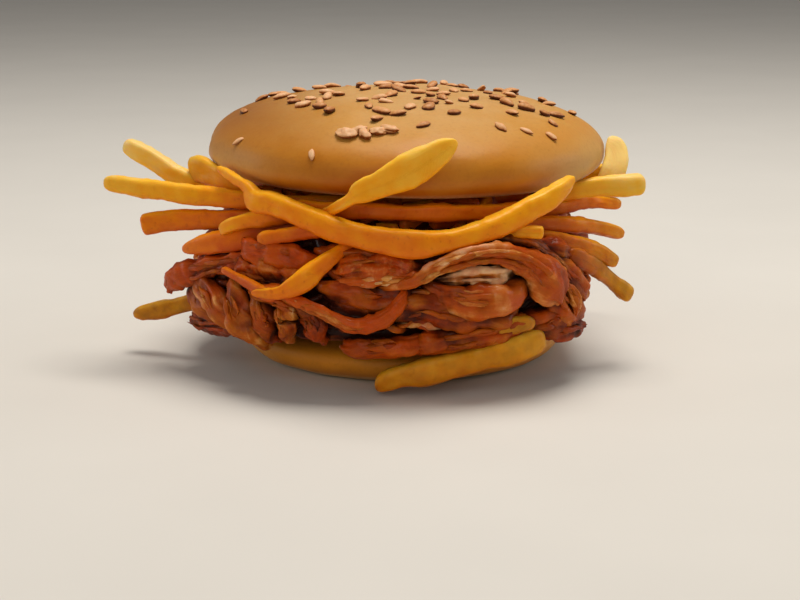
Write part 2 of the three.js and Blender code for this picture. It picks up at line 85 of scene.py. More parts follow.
# The shreds that stand out, as rows of x, y, z and width along the centreline. flat is the
# thickness as a share of the width, ends how blunt the two ends are, wide the direction across
# which the shred is widest. tint is how deep its orange is at its start, middle and end, deeper
# also as painted shade on shreds that lie in shade, and the browning share how far it is browned,
# partly by the meat's juice and partly as painted shade on shreds that lie low or in shade.
# PLAIN_CHEESE holds where an entry says nothing else.
PLAIN_CHEESE = dict(flat=0.75, brown=0.0)
CHEESE_SHREDS = {
    "long_drape": dict(flat=0.8, ends=(0.2, 0.35), tint=(0.42, 0.56, 0.36), rows=[
        (-46.8, -26, 53.2, 1.8), (-41.9, -33, 51.6, 2.2), (-38.3, -37, 50.1, 3), (-36.2, -38.8, 47.6, 5.2),
        (-31.8, -42, 46.8, 5.6), (-23.5, -47.5, 44.6, 5.6), (-13, -52, 41.5, 5.8), (-1, -54.5, 39.5, 6.4),
        (9, -54, 39.5, 5.8), (20, -51, 42, 5.4), (31, -46, 46.5, 5.6), (38, -42, 50, 5),
        (42, -37.5, 52.5, 3.2)]),
    "left_long": dict(ends=(0.6, 0.5), tint=(0.2, 0.38, 0.6), brown=0.08, rows=[
        (-77.7, -12, 47.2, 3.8), (-69.5, -15, 46.6, 4.6), (-60, -20, 46.1, 5), (-48, -25.5, 45.7, 5),
        (-35, -31, 45.6, 4.4)]),
    "left_rising": dict(flat=0.8, ends=(0.65, 0.5), tint=(0.04, 0.12, 0.4), brown=0.04, rows=[
        (-73, -6, 56.4, 4.4), (-65, -9, 52.4, 5.4), (-58, -11.5, 48.4, 5.4), (-46, -15, 45, 4.4)]),
    "left_wedge": dict(flat=0.45, ends=(0.95, 0.4), tint=(0.25, 0.4, 0.6), brown=0.22, rows=[
        (-54.8, -12, 50.3, 6.6), (-51.8, -15.5, 50.8, 7.2), (-47, -21, 50.1, 6.2), (-41.5, -26, 49, 4.6),
        (-36.5, -29, 47.4, 3.2)]),
    "left_broad": dict(flat=0.6, ends=(0.95, 0.5), tint=(0.55, 0.62, 0.8), brown=0.08, rows=[
        (-67.5, -18, 37.2, 6), (-59.5, -20, 38.7, 5.8), (-50, -23.5, 39.5, 5.4), (-41, -27.5, 40.6, 4.8),
        (-31, -29, 41, 4.4)]),
    "left_low": dict(ends=(0.2, 0.5), tint=(0.55, 0.7, 0.85), brown=0.05, rows=[
        (-56.2, -25, 32, 3.2), (-49.5, -29.5, 34.2, 4.8), (-43, -33.5, 36, 5.4), (-34, -37, 38.6, 5.2),
        (-24, -38.5, 41, 4.6)]),
    "left_tucked": dict(flat=0.7, ends=(0.4, 0.5), tint=(0.4, 0.6, 0.8), brown=0.05, rows=[
        (-45.6, -34, 38.4, 3), (-41.8, -37.5, 41, 4), (-36, -39.5, 42.6, 4.2), (-27, -41, 43.6, 4),
        (-15, -43, 44, 3.6)]),
    "left_front": dict(ends=(0.55, 0.5), tint=(0.6, 0.7, 0.9), brown=0.1, rows=[
        (-35.6, -43.5, 38.2, 3.2), (-30, -46, 39.5, 3.4), (-22, -47, 41, 3.4), (-12, -45.5, 41.6, 3.2)]),
    "leaf": dict(flat=0.4, ends=(0.4, 0.7), tint=(0.22, 0.32, 0.46), rows=[
        (12.6, -57, 64.4, 3.6), (8, -57.5, 61.6, 5.6), (1, -57.5, 57.4, 7.8), (-5.5, -56.5, 54, 5.8),
        (-10.4, -55.2, 51.8, 5.4), (-12.6, -54, 50, 3), (-15.5, -51.5, 47.8, 2.8),
        (-19.5, -46, 44.8, 2.4)]),
    "right_flat": dict(ends=(0.85, 0.5), tint=(0.12, 0.24, 0.56), brown=0.04, rows=[
        (62, -19, 47.8, 5.2), (54, -20.5, 47.6, 5.6), (45.5, -22, 47, 5.4), (35, -24, 45, 4)]),
    "right_pale": dict(flat=0.4, ends=(0.6, 0.6), wide=(1, 0, 0), tint=(0.0, 0.02, 0.4), rows=[
        (54.4, -6, 58.4, 3.6), (55.3, -8, 55.2, 5.8), (54.8, -10.5, 51, 6.4), (52.6, -12, 46.6, 5.2),
        (49, -13, 42.4, 4)]),
    "right_upper": dict(flat=0.8, ends=(0.5, 0.5), tint=(0.5, 0.6, 0.8), brown=0.12, rows=[
        (56.8, -10.5, 41.2, 3.2), (47, -17, 42.8, 3.8), (38, -25, 42.6, 3.8), (28, -31, 42, 3.4)]),
    "right_mid": dict(ends=(0.45, 0.5), tint=(0.45, 0.6, 0.8), brown=0.2, rows=[
        (57.3, -15, 34, 3.2), (49, -21, 37, 4), (40, -28, 39, 4.2), (28, -35, 40, 3.8)]),
    "right_low": dict(flat=0.8, ends=(0.6, 0.5), tint=(0.4, 0.6, 0.8), brown=0.35, rows=[
        (55, -21, 27.6, 3.6), (48.5, -25.5, 32, 4.2), (39, -32.5, 35.8, 4.2), (25, -36, 38.2, 3.8)]),
    "right_drop": dict(flat=0.8, ends=(0.75, 0.5), tint=(0.3, 0.45, 0.8), brown=0.5, rows=[
        (59.2, -17, 17.8, 4.2), (53.4, -21, 23.2, 4.2), (48, -26, 28, 4.4), (41, -33, 32.8, 4.6)]),
    "right_stub": dict(flat=0.8, ends=(0.95, 0.5), tint=(0.36, 0.44, 0.6), brown=0.05, rows=[
        (34, -47.8, 40.8, 3.6), (27, -46.6, 40.9, 3.8), (18, -44.5, 40.6, 3.6)]),
    "under_crown": dict(flat=0.8, ends=(0.5, 0.5), tint=(0.66, 0.62, 0.66), rows=[
        (-27, -37.5, 45.4, 3.6), (-14, -43, 45.4, 4), (2, -45.5, 45.2, 4.2), (18, -43, 45, 4),
        (31, -36, 44.6, 3)]),
    "low_left": dict(ends=(0.3, 0.5), tint=(0.36, 0.4, 0.6), brown=0.55, rows=[
        (-72.3, -4, 10, 2.8), (-64.5, -6.5, 11.8, 4.6), (-56, -10, 14.6, 5), (-46, -13, 17, 4)]),
    "low_front": dict(ends=(0.5, 0.7), tint=(0.42, 0.4, 0.3), brown=0.38, rows=[
        (-6.6, -49.5, 1.7, 2), (-3.8, -49.6, 4.1, 5.2), (3, -49.5, 5.9, 6), (14, -49, 8.4, 6.2),
        (25, -46.5, 10.8, 6.6), (35, -42, 13.3, 7.2)]),
    "sauced_front": dict(flat=0.6, ends=(0.5, 0.3), tint=(0.7, 0.5, 0.62), rows=[
        (-10, -47, 40.6, 3), (-14.3, -50, 37.4, 3.4), (-18.8, -52.7, 34.3, 4.6), (-24.1, -54.4, 30.4, 5),
        (-29.7, -53.4, 27.2, 3.6), (-37, -49, 26, 2)]),
    "sauced_thin": dict(flat=0.8, ends=(0.4, 0.4), tint=(0.7, 0.76, 0.7), brown=0.15, rows=[
        (-44.9, -39.4, 29.9, 1.8), (-38.8, -45, 28.1, 2.4), (-34.3, -49.4, 26.4, 3),
        (-30.4, -52.2, 25.6, 3.2)]),
    "back_long": dict(ends=(0.6, 0.5), tint=(0.3, 0.45, 0.5), brown=0.1, rows=[
        (60, 29, 43.5, 3.6), (52, 34, 42.5, 5), (39, 42, 41, 5.4), (22, 50, 40.6, 5.4), (4, 53, 40.4, 5.2),
        (-10, 49, 43.2, 4)]),
    "back_left": dict(ends=(0.6, 0.5), tint=(0.25, 0.4, 0.6), brown=0.1, rows=[
        (-56, 46, 40, 3.6), (-45, 42.5, 43, 4.8), (-32, 34, 44.4, 5), (-18, 26, 44.6, 4)]),
    "back_low": dict(flat=0.8, ends=(0.4, 0.5), tint=(0.4, 0.5, 0.6), brown=0.2, rows=[
        (-38, 54, 29, 3), (-30, 50, 34, 4.2), (-20, 44, 38.8, 4.4), (-8, 36, 41.4, 3.6)]),
    "back_right": dict(flat=0.8, ends=(0.7, 0.5), tint=(0.3, 0.45, 0.6), brown=0.1, rows=[
        (32, 60, 33.4, 4), (27, 52, 37, 4.6), (21, 42, 40, 4.4), (14, 31, 42.4, 3.8)]),
}

# Pieces of pork that stand out. tone runs from 0, dark bark, to 1, pale flesh; rough is how stringy
# the surface is, sauced how orange its glaze is, the speckle share how speckled it is with pale
# specks that are partly crumbs and partly painted glints, and loose which ends hang free.
# PLAIN_PORK holds where an entry says nothing else.
PLAIN_PORK = dict(flat=0.7, loose=(False, False))
PORK_SHREDS = {
    "left_tail": dict(tone=0.35, sauced=0.5, loose=(True, False), rows=[
        (-60.5, -17, 18.8, 4), (-58.5, -21, 23.8, 5.4), (-50, -28.5, 28, 5.2), (-40.5, -35, 31, 4.8),
        (-29, -40, 33.2, 4)]),
    "sagging_loop": dict(tone=0.6, sauced=0.6, rough=0.6, rows=[
        (-28.8, -52, 26.4, 2.4), (-23.6, -54.5, 24.6, 2.8), (-19.1, -55.5, 22.9, 3),
        (-12.1, -56.5, 19.7, 3.3), (-6.3, -56.5, 20.5, 3.3), (-2.7, -56, 23, 3), (-0.1, -55.5, 26.3, 2.8)]),
    "arched": dict(flat=0.6, tone=(0.68, 0.78, 0.56), sauced=0.3, rough=0.8, loose=(False, True), rows=[
        (-4, -54.6, 28.8, 2.6), (2.6, -55.5, 30.5, 3), (6.8, -55.5, 33.2, 3.6), (11.9, -55, 35.3, 4.2),
        (20, -53.5, 36.8, 4.6), (26.9, -51, 35.5, 5.6), (32, -48.5, 32.7, 7.6), (35.9, -46, 27.9, 9),
        (38.7, -43, 22.4, 9.4)]),
    "outer_arch": dict(flat=0.6, tone=0.55, rows=[
        (22, -48.5, 38.6, 3), (29, -46, 37.4, 4), (34.9, -42.5, 33.8, 5), (40.1, -39, 29.3, 5.4),
        (44, -35.4, 25, 4.6), (45.4, -33.2, 22.6, 3.4)]),
    "curled": dict(tone=0.6, sauced=0.3, rough=0.4, rows=[
        (6.9, -52, 28, 5), (11.2, -54, 26.6, 6.8), (17.5, -54, 25.4, 8.2), (23.4, -52, 25.3, 8.2),
        (27.6, -49.2, 26.3, 7)]),
    "right_tail": dict(flat=0.55, tone=0.12, loose=(True, False), rows=[
        (46.5, -31, 13.4, 2.6), (40, -38, 15.4, 6.4), (31.5, -42, 16.8, 6)]),
    "lower_strip": dict(tone=0.45, rows=[
        (5.2, -51.5, 13.7, 5.4), (10.1, -51.3, 15.1, 6.4), (16.3, -50.3, 15.8, 6.6),
        (22.4, -48.3, 16.4, 6.4), (28.7, -46, 17.1, 5.8)]),
    "lower_fold": dict(tone=0.4, sauced=0.3, rows=[
        (-13, -50, 12.4, 3.6), (-7.6, -51.3, 13, 4.8), (-2, -51.8, 13.2, 5.2), (3, -51.8, 13.8, 4.8)]),
}

# A short end of cheddar caught between the pork and the low shred in front.
CAUGHT_END = dict(ends=(0.3, 0.3), tint=(0.4, 0.34, 0.4), brown=0.6, rows=[
    (20, -48.6, 16.4, 3.2), (26.5, -47.8, 17.9, 4.6), (32.4, -45.4, 17.8, 4.6)])

# Further pieces of pork between those, which have no solid of their own.
MORE_PORK = {
    "curl_lip": dict(crumbs=0.4, tone=1.08, rough=2.4, rows=[
        (8.5, -51.5, 30, 3.4), (14.9, -52.6, 30.8, 5), (21, -52, 31.2, 5.4), (26, -48, 31, 4.4)]),
    "curl_back": dict(flat=0.8, tone=0.3, rows=[
        (5, -49.5, 31, 4), (12, -48.5, 33.5, 5), (21, -47, 33.5, 5), (29, -44.5, 31, 5)]),
    "centre_crust": dict(crumbs=0.36, tone=0.56, sauced=0.55, rough=1.7, rows=[
        (-15, -50.5, 31.4, 4.4), (-10, -52, 32.8, 5.4), (-3, -52.6, 32.8, 5.6), (4, -52.6, 31.8, 4.6)]),
    "crust_ridge": dict(tone=0.78, sauced=0.7, rows=[
        (-15, -52.6, 29, 2.4), (-8, -54, 30.2, 2.8), (-1, -54.4, 30.8, 2.8), (5, -54.4, 31.6, 2.4)]),
    "striped": dict(flat=0.55, tone=0.34, rows=[
        (-19, -51.3, 27.4, 4.6), (-12.9, -52.8, 26.7, 6.6), (-5.6, -53.2, 26.2, 7), (0.6, -52.8, 27.2, 6)]),
    "striped_low": dict(flat=0.6, tone=0.4, rows=[
        (-17, -51.5, 24, 4), (-10.5, -52.5, 23, 5), (-4, -52.6, 23.6, 5), (2, -51.5, 24, 4)]),
    "smooth_grey": dict(flat=0.55, tone=0.4, rough=0.3, rows=[
        (-3, -51.5, 23.4, 6), (4, -52.6, 23, 8.6), (11.3, -52.2, 21.8, 8.4), (18.5, -50.8, 20.6, 6.6),
        (26, -47.5, 20, 5)]),
    "left_chunk": dict(flat=0.75, tone=0.54, rough=0.35, rows=[
        (-42, -40, 25, 5.6), (-41, -42, 21.6, 8), (-39.5, -43.2, 17.6, 8.6), (-37, -42.8, 14.4, 6.6)]),
    "chunk_red": dict(flat=0.75, tone=0.38, rough=0.5, rows=[
        (-35.6, -45, 25, 5), (-34.6, -46, 21.4, 7), (-33.4, -46, 17.6, 7), (-33, -44.8, 15, 5)]),
    "left_lump": dict(flat=0.75, tone=0.18, rough=0.3, loose=(True, False), rows=[
        (-55, -17, 12.8, 4.4), (-51, -23.5, 12.8, 6), (-46.5, -29.5, 13.6, 6.4), (-42, -34.5, 14.4, 5.6)]),
    "left_upper": dict(flat=0.75, tone=0.62, rough=0.5, rows=[
        (-52.5, -24.5, 25, 5.5), (-49.6, -28.5, 23, 7), (-47, -32.5, 20.6, 7.4), (-45, -34.5, 17, 6.4)]),
    "left_mid": dict(flat=0.75, tone=0.5, rough=0.5, rows=[
        (-53.5, -21.5, 20.5, 5.5), (-51, -26, 18.3, 6.5), (-48, -30, 16.5, 6)]),
    "knob_a": dict(flat=0.85, tone=0.7, rough=0.6, rows=[
        (-29, -48.6, 24.4, 4), (-28.4, -50.2, 21.4, 6), (-28.4, -50, 17.6, 6), (-29, -48.2, 15.4, 4.4)]),
    "knob_b": dict(flat=0.85, tone=0.25, sauced=0.4, rough=0.6, rows=[
        (-23.4, -50.5, 21.5, 4.6), (-21.8, -51.6, 19.2, 5.6), (-21, -51.2, 16.8, 5),
        (-20.6, -50, 15.4, 3)]),
    "knob_c": dict(flat=0.85, tone=0.45, rows=[
        (-36, -46, 26, 4), (-31, -49.5, 25.4, 5), (-26, -51.5, 23.6, 5), (-21, -52, 21.6, 4)]),
    "upper_left_chunk": dict(flat=0.6, tone=0.46, sauced=0.5, rows=[
        (-38.5, -41, 35.4, 5), (-32.6, -44.5, 35, 6), (-27, -46.8, 34.2, 6), (-22, -48, 33, 5)]),
    "dimple_floor": dict(flat=0.5, crumbs=0.34, tone=0.5, sauced=0.3, rough=1.5, rows=[
        (-40, -39.5, 30, 5), (-34, -43, 29, 7), (-29, -46, 28.8, 7), (-24, -48, 29.4, 5)]),
    "right_drop": dict(flat=0.65, tone=0.5, rows=[
        (30, -46, 32.5, 5), (35.5, -43, 28, 7), (39, -39.5, 22, 7.4), (41, -36.5, 17.4, 5.4)]),
    "drop_edge": dict(flat=0.8, tone=0.75, rows=[
        (38, -43, 28.6, 2), (40.6, -41, 26, 2.4), (42.8, -39, 21.7, 2.6), (42.4, -38, 17.4, 2.2)]),
    "right_inner": dict(tone=0.35, rows=[
        (39, -38, 30, 5), (42.5, -33, 24.6, 6.4), (42, -29.5, 19.6, 5), (41, -28, 16.4, 4)]),
    "right_fold": dict(tone=0.4, rows=[
        (28, -44, 17, 5), (35, -41.5, 17.6, 6), (40.5, -37, 18, 6), (44, -31.5, 18, 5)]),
    "upper_mid": dict(tone=0.35, rows=[
        (-20, -47.5, 34.4, 5), (-8, -49, 35.4, 6), (4, -49.5, 36.4, 6), (15, -48.5, 37.4, 5)]),
    "upper_right": dict(tone=0.45, rows=[
        (12, -47.5, 37.8, 4.4), (22, -45.5, 37.6, 5.4), (32, -41, 36.4, 5.4), (40, -35, 33.4, 5)]),
}

# ---- maths


def lattice(cell, seed):
    """A fixed pseudo-random number between -1 and 1 for each whole-numbered cell."""
    mask = 0xFFFFFFFF
    h = (cell[..., 0] * 374761393 + cell[..., 1] * 668265263 + cell[..., 2] * 974634777) & mask
    h = (h + seed * 144665) & mask
    h = ((h ^ (h >> 13)) * 1274126177) & mask
    h = ((h ^ (h >> 15)) * 2246822519) & mask
    return (h ^ (h >> 16)) / (mask / 2) - 1


def noise(points, seed):
    """Smooth noise between -1 and 1 with features about one unit across."""
    points = points + 37.3
    cell = np.floor(points).astype(np.int64)
    f = points - cell
    f = f * f * f * (f * (f * 6 - 15) + 10)
    total = np.zeros(points.shape[:-1])
    for corner in np.ndindex(2, 2, 2):
        offset = np.array(corner)
        weight = np.prod(np.where(offset == 1, f, 1 - f), axis=-1)
        total += weight * lattice(cell + offset, seed)
    return total


def waviness(angle, seed):
    """The same slow unevenness round the sandwich that the solids have."""
    slow = np.sin(2 * angle + seed) * 0.45
    medium = np.sin(5 * angle + 2.3 * seed) * 0.35
    quick = np.sin(9 * angle + 4.1 * seed) * 0.2
    return slow + medium + quick


def smoothstep(low, high, value):
    t = np.clip((value - low) / (high - low), 0, 1)
    return t * t * (3 - 2 * t)


def smooth_line(rows):
    """A finely divided smooth line through rows of x, y, z, width, and the distance along it."""
    rows = np.array(rows, float)
    rows = np.vstack([2 * rows[0] - rows[1], rows, 2 * rows[-1] - rows[-2]])
    gaps = np.linalg.norm(np.diff(rows[:, :3], axis=0), axis=1) ** 0.5
    knots = np.concatenate([[0], np.cumsum(gaps)])
    stretches = []
    for i in range(1, len(rows) - 2):
        t0, t1, t2, t3 = knots[i - 1 : i + 3]
        t = np.linspace(t1, t2, 17)[:, None]
        a1 = ((t1 - t) * rows[i - 1] + (t - t0) * rows[i]) / (t1 - t0)
        a2 = ((t2 - t) * rows[i] + (t - t1) * rows[i + 1]) / (t2 - t1)
        a3 = ((t3 - t) * rows[i + 1] + (t - t2) * rows[i + 2]) / (t3 - t2)
        b1 = ((t2 - t) * a1 + (t - t0) * a2) / (t2 - t0)
        b2 = ((t3 - t) * a2 + (t - t1) * a3) / (t3 - t1)
        stretches.append((((t2 - t) * b1 + (t - t1) * b2) / (t2 - t1))[:-1])
    line = np.vstack(stretches + [rows[-2:-1]])
    steps = np.linalg.norm(np.diff(line[:, :3], axis=0), axis=1)
    return line, np.concatenate([[0], np.cumsum(steps)])


def normalized(vectors):
    return vectors / np.linalg.norm(vectors, axis=-1, keepdims=True)


def along_line(line, distance, places):
    """The rows of a line at the given distances along it."""
    return np.stack([np.interp(places, distance, column) for column in line.T], -1)


def around(middle, radius, angle, height):
    """Points at a radius and an angle round a middle, at a height."""
    x = middle[0] + radius * np.cos(angle)
    y = middle[1] + radius * np.sin(angle)
    return np.stack(np.broadcast_arrays(x, y, height), -1)


# ---- meshes


class Piece:
    """Vertices, faces and values for each vertex, gathered for one mesh."""

    def __init__(self):
        self.count = 0
        self.vertices = []
        self.faces = []
        self.values = {}

    def add(self, vertices, faces, **values):
        """Adds vertices in mm, faces as rows of their indices, and a value or array of values."""
        vertices = vertices.reshape(-1, 3)
        self.vertices.append(vertices)
        for rows in faces:
            self.faces.extend((rows + self.count).tolist())
        for name, value in values.items():
            spread = np.broadcast_to(value, (len(vertices),) + np.shape(value)[1:])
            self.values.setdefault(name, []).append(spread)
        self.count += len(vertices)

    def build(self, name, material, slot, nodes=()):
        mesh = bpy.data.meshes.new(name)
        mesh.from_pydata((np.vstack(self.vertices) * MM).tolist(), [], self.faces)
        mesh.shade_smooth()
        for key, parts in self.values.items():
            data = np.concatenate(parts).astype(np.float32)
            kind, field = ("FLOAT_VECTOR", "vector") if data.ndim == 2 else ("FLOAT", "value")
            mesh.attributes.new(key, kind, "POINT").data.foreach_set(field, data.ravel())
        mesh.materials.append(material)
        piece = add_object(name, mesh)
        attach(piece, "root")
        if nodes:
            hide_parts(*nodes)
        return piece


def tube_faces(rings, sides):
    """Faces of a tube of rings whose two ends close on one vertex each, which come last."""
    ring = np.arange(rings - 1)[:, None] * sides
    corner = np.arange(sides)[None, :]
    after = (corner + 1) % sides
    quads = np.stack([ring + corner, ring + after, ring + sides + after, ring + sides + corner], -1)
    first, last = rings * sides, rings * sides + 1
    corner, after = corner[0], after[0]
    top = (rings - 1) * sides
    caps = [
        np.stack([after, corner, np.full(sides, first)], -1),
        np.stack([top + corner, top + after, np.full(sides, last)], -1),
    ]
    return [quads.reshape(-1, 4)] + caps


def ring_places(length, caps, step):
    """Distances along a shred of its rings, closer together where its ends round off."""
    turn = np.linspace(0, math.pi / 2, 7)[1:-1]
    start = caps[0] * (1 - np.cos(turn))
    end = length - caps[1] * (1 - np.cos(turn[::-1]))
    count = max(2, int((length - caps[0] - caps[1]) / step))
    return np.concatenate([start, np.linspace(caps[0], length - caps[1], count), end])


def sweep(number, rows, flat, caps, skin, wide, step, sides, fray=None):
    """The vertices and faces of a shred along a smooth line through its rows, with two values for
    each vertex: its grain, the distances along and round the shred and one that keeps shreds
    apart, and its relief, the height of its skin. caps are how far its ends round off, skin how
    far the surface lies outside a plain oval and fray how much sooner each side ends, in mm."""
    line, distance = smooth_line(rows)
    length = distance[-1]
    caps = [min(cap, 0.45 * length) for cap in caps]
    places = ring_places(length, caps, step)
    centre = along_line(line, distance, places)
    ahead, behind = (along_line(line, distance, places + gap)[:, :3] for gap in (0.3, -0.3))
    tangent = normalized(ahead - behind)
    across = normalized(np.cross(wide, tangent))
    up = np.cross(tangent, across)
    angle, along = np.meshgrid(np.arange(sides) / sides * 2 * math.pi, places)
    half = centre[:, 3:4] / 2
    thin = half * flat
    sooner = fray(angle, along) if fray else 0
    taper = 1
    for gap, cap in ((along, caps[0]), (length - along, caps[1])):
        inside = np.clip((gap - sooner) / cap, 0.02, 1)
        taper = taper * (1 - (1 - inside) ** END_ROUNDNESS) ** (1 / END_ROUNDNESS)
    local = np.stack([np.cos(angle) * thin, np.sin(angle) * half, along], -1)
    out = skin(local, angle)
    width = (thin + out) * taper
    height = (half + out) * taper
    points = centre[:, None, :3] + across[:, None] * (np.cos(angle) * width)[..., None]
    points = points + up[:, None] * (np.sin(angle) * height)[..., None]
    tips = np.array([line[0, :3], line[-1, :3]])
    vertices = np.vstack([points.reshape(-1, 3), tips])
    grain = np.stack([along, angle * half, 7.0 * number + 0 * along], -1).reshape(-1, 3)
    grain = np.vstack([grain, grain[:1], grain[-1:]])
    relief = (out - out.mean(axis=1, keepdims=True)).ravel()
    relief = np.concatenate([relief, [0, 0]])
    return vertices, tube_faces(len(places), sides), {"grain": grain, "relief": relief}


def graded(levels, grain):
    """A value for each vertex of a shred, from levels spread evenly along it."""
    levels = np.atleast_1d(levels)
    share = grain[:, 0] / grain[:, 0].max()
    return np.interp(share, np.linspace(0, 1, len(levels)), levels)


def add_object(name, data):
    thing = bpy.data.objects.new(name, data)
    bpy.context.scene.collection.objects.link(thing)
    return thing


# ---- node helpers


def srgb(red, green, blue):
    """A shader colour from the 0-255 numbers of a screen colour."""
    channels = []
    for value in (red, green, blue):
        share = value / 255
        channels.append(share / 12.92 if share <= 0.04045 else ((share + 0.055) / 1.055) ** 2.4)
    return (*channels, 1)


class Shader:
    """A material's node tree, built up as expressions."""

    def __init__(self, name):
        self.material = bpy.data.materials.new(name)
        self.material.use_nodes = True
        self.tree = self.material.node_tree
        self.surface = self.tree.nodes["Principled BSDF"]

    def put(self, kind, inputs, output=0, **settings):
        node = self.tree.nodes.new("ShaderNode" + kind)
        for name, value in settings.items():
            setattr(node, name, value)
        for name, value in inputs.items():
            self.plug(node.inputs[name], value)
        return node.outputs[output]

    def plug(self, socket, value):
        if isinstance(value, bpy.types.NodeSocket):
            self.tree.links.new(value, socket)
        else:
            socket.default_value = value

    def finish(self, **inputs):
        for name, value in inputs.items():
            self.plug(self.surface.inputs[name.replace("_", " ")], value)
        return self.material

    def place(self):
        """Where the surface is, in millimetres."""
        spot = self.put("TexCoord", {}, output="Object")
        return self.put("VectorMath", {0: spot, "Scale": 1 / MM}, operation="SCALE")

    def attribute(self, name, output="Fac"):
        return self.put("Attribute", {}, output=output, attribute_name=name)

    def noise(self, vector, size, detail, roughness=0.5):
        inputs = {"Vector": vector, "Scale": 1 / size, "Detail": detail, "Roughness": roughness}
        return self.put("TexNoise", inputs, output="Fac")

    def axis(self, vector, name):
        return self.put("SeparateXYZ", {0: vector}, output=name)

    def stretch(self, vector, scales):
        return self.put("VectorMath", {0: vector, 1: scales}, operation="MULTIPLY")

    def upward(self):
        """How far the surface faces up, from -1 to 1."""
        return self.axis(self.put("TexCoord", {}, output="Normal"), "Z")

    def maths(self, operation, first, second=0.0):
        return self.put("Math", {0: first, 1: second}, operation=operation)

    def add(self, first, second):
        return self.maths("ADD", first, second)

    def times(self, first, second):
        return self.maths("MULTIPLY", first, second)

    def remap(self, value, low, high, new_low=0.0, new_high=1.0):
        inputs = {"Value": value, "From Min": low, "From Max": high}
        inputs |= {"To Min": new_low, "To Max": new_high}
        return self.put("MapRange", inputs)

    def mix(self, factor, first, second):
        return self.put("Mix", {0: factor, 6: first, 7: second}, output=2, data_type="RGBA")

    def ramp(self, factor, stops):
        """A colour for the factor, from stops of a position, red, green and blue."""
        socket = self.put("ValToRGB", {"Fac": factor}, output="Color")
        elements = socket.node.color_ramp.elements
        while len(elements) < len(stops):
            elements.new(0.5)
        for element, (position, *screen) in zip(elements, stops):
            element.position = position
            element.color = srgb(*screen)
        return socket

    def bump(self, height, distance_mm, strength=1.0, normal=None):
        inputs = {"Height": height, "Distance": distance_mm * MM, "Strength": strength}
        if normal:
            inputs["Normal"] = normal
        return self.put("Bump", inputs, output="Normal")


# ---- materials


def crust_material(name, low, high, colours, crumb):
    """Baked crust: colours from the lip at low to the top at high, darkest at the lip as painted shade,
    with paler sides that are partly paler crust and partly painted reflection, painted shade over the
    upper left, and crumb on the cut face.
    """
    s = Shader(name)
    place = s.place()
    patches = s.noise(place, 16, 4, 0.55)
    x, height = s.axis(place, "X"), s.axis(place, "Z")
    raised = s.remap(height, low, high)
    drift = s.remap(patches, 0.3, 0.7, -0.1, 0.1)
    # Painted shade: the crust is darker towards the left, where less light falls.
    painted_shade_left = s.remap(x, -50, 8, -0.16, 0.03)
    level = s.add(s.add(raised, drift), painted_shade_left)
    sideways = s.maths("ABSOLUTE", x)
    # Paler low sides: partly the paler crust of a bun's sides, partly a painted reflection of side light.
    pale_sides_and_reflection = s.remap(sideways, 16, 48, 0.06, 0.55)
    level = s.add(level, s.times(pale_sides_and_reflection, s.remap(raised, 0.6, 0.1)))
    crust = s.ramp(level, colours)
    # A pale patch low on each side: partly paler crust, partly a painted reflection.
    pale_patch_and_reflection = s.times(s.remap(sideways, 30, 50, 0, 0.9), s.remap(raised, 0.7, 0.2))
    crust = s.mix(pale_patch_and_reflection, crust, srgb(208, 166, 104))
    # Painted shade: the upper left of the crust is mixed towards a darker brown.
    painted_shade_upper_left = s.times(s.remap(x, -12, -46, 0, 0.85), s.remap(raised, 0.3, 0.75))
    crust = s.mix(painted_shade_upper_left, crust, srgb(132, 78, 26))
    freckles = s.remap(s.noise(place, 0.9, 2), 0.5, 0.75)
    crust = s.mix(s.times(freckles, 0.14), crust, srgb(136, 72, 14))
    pores = s.noise(place, 0.5, 3, 0.6)
    wrinkles = s.noise(s.stretch(place, (0.5, 0.5, 1.4)), 2.6, 3, 0.5)
    facing_down = s.remap(s.upward(), -0.8, -0.96)
    crumb_height = s.noise(place, 1.1, 4, 0.7)
    crumb_colour = s.mix(crumb_height, srgb(*crumb), srgb(226, 190, 132))
    colour = s.mix(facing_down, crust, crumb_colour)
    bump = s.bump(pores, 0.05, 0.4)
    bump = s.bump(wrinkles, 0.22, 0.5, bump)
    return s.finish(
        Base_Color=colour,
        Roughness=s.remap(patches, 0.3, 0.7, 0.42, 0.54),
        Normal=bump,
        Specular_IOR_Level=0.2,
        Subsurface_Weight=0.08,
        Subsurface_Radius=(1.0, 0.45, 0.2),
        Subsurface_Scale=1.2 * MM,
        Coat_Weight=0.04,
        Coat_Roughness=0.3,
    )


